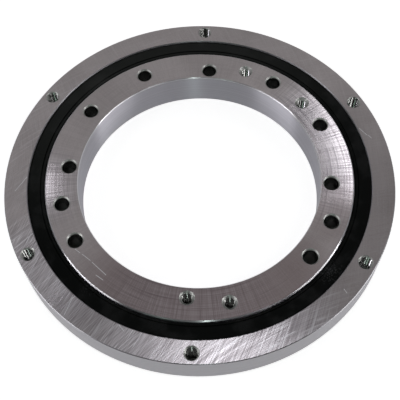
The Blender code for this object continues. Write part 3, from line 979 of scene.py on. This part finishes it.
def seal_rubber():
    """Black nitrile rubber: a satin skin, a little duller in patches, with smears and specks of grease and a
    wet film of oil in one place. On the far left side its flat and its lip are lighter, with dust and painted
    light, while the hinge groove and the gap beside the outer ring stay black as painted shade."""
    material, tree, shader, place = new_material("seal_rubber", 0.0)
    shader["Specular IOR Level"].default_value = 0.08
    uneven = noise(tree, place, 90.0, 3.0)
    grain = noise(tree, place, 3000.0, 1.0)
    greased = patches(tree, place, GREASE, elsewhere=0.25)
    smears = calc(tree, "MULTIPLY", span(tree, uneven, 0.45, 0.65), span(tree, grain, 0.4, 0.6))
    smears = calc(tree, "MULTIPLY", smears, greased)
    drops = noise(tree, place, 1100.0, 1.0)
    specks = calc(tree, "MULTIPLY", span(tree, drops, 0.56, 0.64), patches(tree, place, GREASE))
    level = add(tree, "ShaderNodeVectorMath", {0: place, 1: (1, 1, 0)}, operation="MULTIPLY")
    distance = add(tree, "ShaderNodeVectorMath", {0: level.outputs[0]}, operation="LENGTH").outputs["Value"]
    # Painted shade: the hinge groove and the gap beside the outer ring stay black within the lighter patch
    groove = wall_radius + LIP_GAP + LIP_WIDTH + GROOVE_WIDTH / 2
    beside = calc(tree, "ABSOLUTE", calc(tree, "SUBTRACT", distance, groove))
    off_painted_groove_shade = span(tree, beside, 0.4 * GROOVE_WIDTH, 0.8 * GROOVE_WIDTH)
    off_painted_seat_shadow = span(tree, distance, seat_radius - SEAT_SHADE[0], seat_radius - SEAT_SHADE[1], 1.0, 0.0)
    outside_painted_shade = calc(tree, "MULTIPLY", off_painted_groove_shade, off_painted_seat_shadow)
    # The far left side made lighter: dust and painted light, held off the groove and the seat
    dust_and_light = calc(tree, "MULTIPLY", patches(tree, place, FAR_SIDE_DUST_AND_LIGHT), outside_painted_shade)
    dusty_and_lit = blend(tree, dust_and_light, RUBBER_TONE, DUST_AND_LIGHT_TONE)
    smeared = blend(tree, smears, dusty_and_lit, SMEAR_TONE)
    tree.links.new(blend(tree, specks, smeared, SPECK_TONE), shader["Base Color"])
    tree.links.new(patches(tree, place, OIL), shader["Coat Weight"])
    shader["Coat Roughness"].default_value = 0.15
    tree.links.new(span(tree, uneven, 0.3, 0.7, 0.5, 0.36), shader["Roughness"])
    tree.links.new(bumped(tree, grain, 0.01 * MM), shader["Normal"])
    return material


def make_seals():
    upper = seal_outline()
    columns = np.arange(0, tau, SEAL_STEP)
    rubber = seal_rubber()
    for name, outline in (("upper_seal", upper), ("lower_seal", mirrored(upper))):
        seal = welded(f"{name}_body", [(turned(outline, columns), True, 0)], [rubber])
        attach(seal, "outer")
        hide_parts(name)


make_seals()


# The studio: a white sheet under the bearing, a pale room, and softboxes overhead, in front and at both
# sides. The sheet and the room are white to the camera, and above the horizon the room is a dim ceiling.

FLOOR_HALF = 4
FLOOR_DROP = 0.05 * MM
FLOOR_GREY = (0.6, 0.6, 0.6, 1)
FLOOR_GLOW = 0.8
FLOOR_MIRRORED = 0.5  # the share of the glow that reflections see
# The room's brightness at the horizon, halfway up, overhead and below, and the share of it by the camera
HORIZON = 0.6
HALFWAY = 0.34
OVERHEAD = 0.08
BELOW = 0.5
NEAR_SIDE = 0.2
LAMP_DISTANCE = 1.5


def make_floor():
    """A square sheet. Outside the rings' footprint it glows for the camera and for reflections, so that it
    comes out white and still takes the bearing's shadow. It is clear from below, and for light that has come
    up through it once, so that a view from below is lit too."""
    material = bpy.data.materials.new("white_sheet")
    material.use_nodes = True
    tree = material.node_tree
    tree.nodes.clear()
    path = add(tree, "ShaderNodeLightPath").outputs
    mirrored_glow = calc(tree, "MULTIPLY", path["Is Glossy Ray"], FLOOR_MIRRORED)
    seen = calc(tree, "MAXIMUM", path["Is Camera Ray"], mirrored_glow)
    place = add(tree, "ShaderNodeTexCoord").outputs["Object"]
    distance = add(tree, "ShaderNodeVectorMath", {0: place}, operation="LENGTH").outputs["Value"]
    off_middle = calc(tree, "ABSOLUTE", calc(tree, "SUBTRACT", distance, (bore_radius + rim_radius) / 2))
    bare = calc(tree, "GREATER_THAN", off_middle, (rim_radius - bore_radius) / 2 - MM)
    strength = calc(tree, "MULTIPLY", seen, calc(tree, "MULTIPLY", bare, FLOOR_GLOW))
    sheet = add(tree, "ShaderNodeBsdfDiffuse", {"Color": FLOOR_GREY}).outputs[0]
    glow = add(tree, "ShaderNodeEmission", {"Strength": strength}).outputs[0]
    lit = add(tree, "ShaderNodeAddShader", {0: sheet, 1: glow}).outputs[0]
    clear = add(tree, "ShaderNodeBsdfTransparent").outputs[0]
    below = add(tree, "ShaderNodeNewGeometry").outputs["Backfacing"]
    passed = calc(tree, "GREATER_THAN", path["Transparent Depth"], 0.5)
    see_through = calc(tree, "MAXIMUM", below, passed)
    mixed = add(tree, "ShaderNodeMixShader", {0: see_through, 1: lit, 2: clear}).outputs[0]
    add(tree, "ShaderNodeOutputMaterial", {"Surface": mixed})
    corners = [(x * FLOOR_HALF, y * FLOOR_HALF, -FLOOR_DROP) for x, y in ((-1, -1), (1, -1), (1, 1), (-1, 1))]
    mesh = bpy.data.meshes.new("white_sheet")
    mesh.from_pydata(corners, [], [(0, 1, 2, 3)])
    mesh.materials.append(material)
    floor = bpy.data.objects.new("white_sheet", mesh)
    bpy.context.scene.collection.objects.link(floor)


def make_room():
    """A room that darkens from the horizon to overhead, by the way's Z, and towards the camera's side, by
    its Y. The camera itself sees it white."""
    world = bpy.data.worlds.new("pale_room")
    bpy.context.scene.world = world
    world.use_nodes = True
    tree = world.node_tree
    tree.nodes.clear()
    seen = add(tree, "ShaderNodeLightPath").outputs["Is Camera Ray"]
    way = add(tree, "ShaderNodeTexCoord").outputs["Generated"]
    parts = add(tree, "ShaderNodeSeparateXYZ", {0: way}).outputs
    rise = parts["Z"]
    low = span(tree, rise, 0.05, 0.35, HORIZON, HALFWAY)
    room = calc(tree, "SUBTRACT", low, span(tree, rise, 0.6, 0.97, 0.0, HALFWAY - OVERHEAD))
    room = calc(tree, "MULTIPLY", room, span(tree, parts["Y"], -0.35, 0.25, NEAR_SIDE, 1.0))
    room = calc(tree, "MAXIMUM", room, calc(tree, "MULTIPLY", calc(tree, "LESS_THAN", rise, 0.0), BELOW))
    strength = calc(tree, "MAXIMUM", room, seen)
    background = add(tree, "ShaderNodeBackground", {"Color": (1, 1, 1, 1), "Strength": strength})
    add(tree, "ShaderNodeOutputWorld", {"Surface": background.outputs[0]})


def softbox(name, spot, way, width, height, brightness, colour=(1, 1, 1), roll=0):
    """A rectangular lamp that faces the spot from this way, of this width and height in degrees as seen from
    the spot, rolled by so many degrees. Its power is its brightness over its area."""
    lamp = bpy.data.lights.new(name, "AREA")
    lamp.shape = "RECTANGLE"
    lamp.size = 2 * LAMP_DISTANCE * sin(radians(width) / 2)
    lamp.size_y = 2 * LAMP_DISTANCE * sin(radians(height) / 2)
    lamp.energy = brightness * pi * lamp.size * lamp.size_y
    lamp.color = colour
    box = bpy.data.objects.new(name, lamp)
    bpy.context.scene.collection.objects.link(box)
    box.location = spot + LAMP_DISTANCE * way
    facing = (-way).to_track_quat("-Z", "Y")
    box.rotation_euler = (facing @ Quaternion((0, 0, 1), radians(roll))).to_euler()
    box.visible_camera = False


def mirrored_softbox(name, turn, radius, *size_and_light):
    """A softbox whose reflection the camera sees at this turn and radius of the faces."""
    spot = middle + radius * toward(radians(turn), 0)
    way = (spot - camera.location).normalized()
    way.z = -way.z
    softbox(name, spot, way, *size_and_light)


def room_softbox(name, turn, rise, *size_and_light):
    softbox(name, middle, toward(radians(turn), radians(rise)), *size_and_light)


make_floor()
make_room()
# After its place, each lamp has its width, height, brightness, colour and roll
mirrored_softbox("overhead", 9, 0.136, 11, 5, 5.0, (0.96, 0.96, 1), 25)
mirrored_softbox("high_right", 107, 0.119, 3, 20, 4.2, (0.97, 0.97, 1), 33)
mirrored_softbox("high_left", 272, 0.113, 3, 9, 2.6, (0.97, 0.96, 1), -20)
mirrored_softbox("low_left", 316, 0.137, 4, 4, 2.2, (0.96, 0.96, 1))
room_softbox("left_window", -59, 16, 32, 34, 1.0)
room_softbox("rim_left", -62, 4, 34, 7, 5.0)
room_softbox("rim_right", 68, 4, 34, 7, 5.0)
room_softbox("right_window", 72, 16, 32, 34, 1.0)
room_softbox("left_strip", -76, 30, 3, 60, 4.4)
room_softbox("right_strip", 85.5, 30, 3, 60, 5.5)
room_softbox("front_strip", 5, 30, 3, 60, 3.2, (0.85, 1, 0.93))
room_softbox("ceiling_right", 50, 60, 10, 10, 4.0)
room_softbox("ceiling_middle", -25, 58, 4, 20, 1.9, (0.75, 1, 0.85))
room_softbox("ceiling_left", -78, 52, 12, 8, 4.0, (0.92, 0.87, 1))

bpy.context.scene.view_settings.view_transform = "Standard"
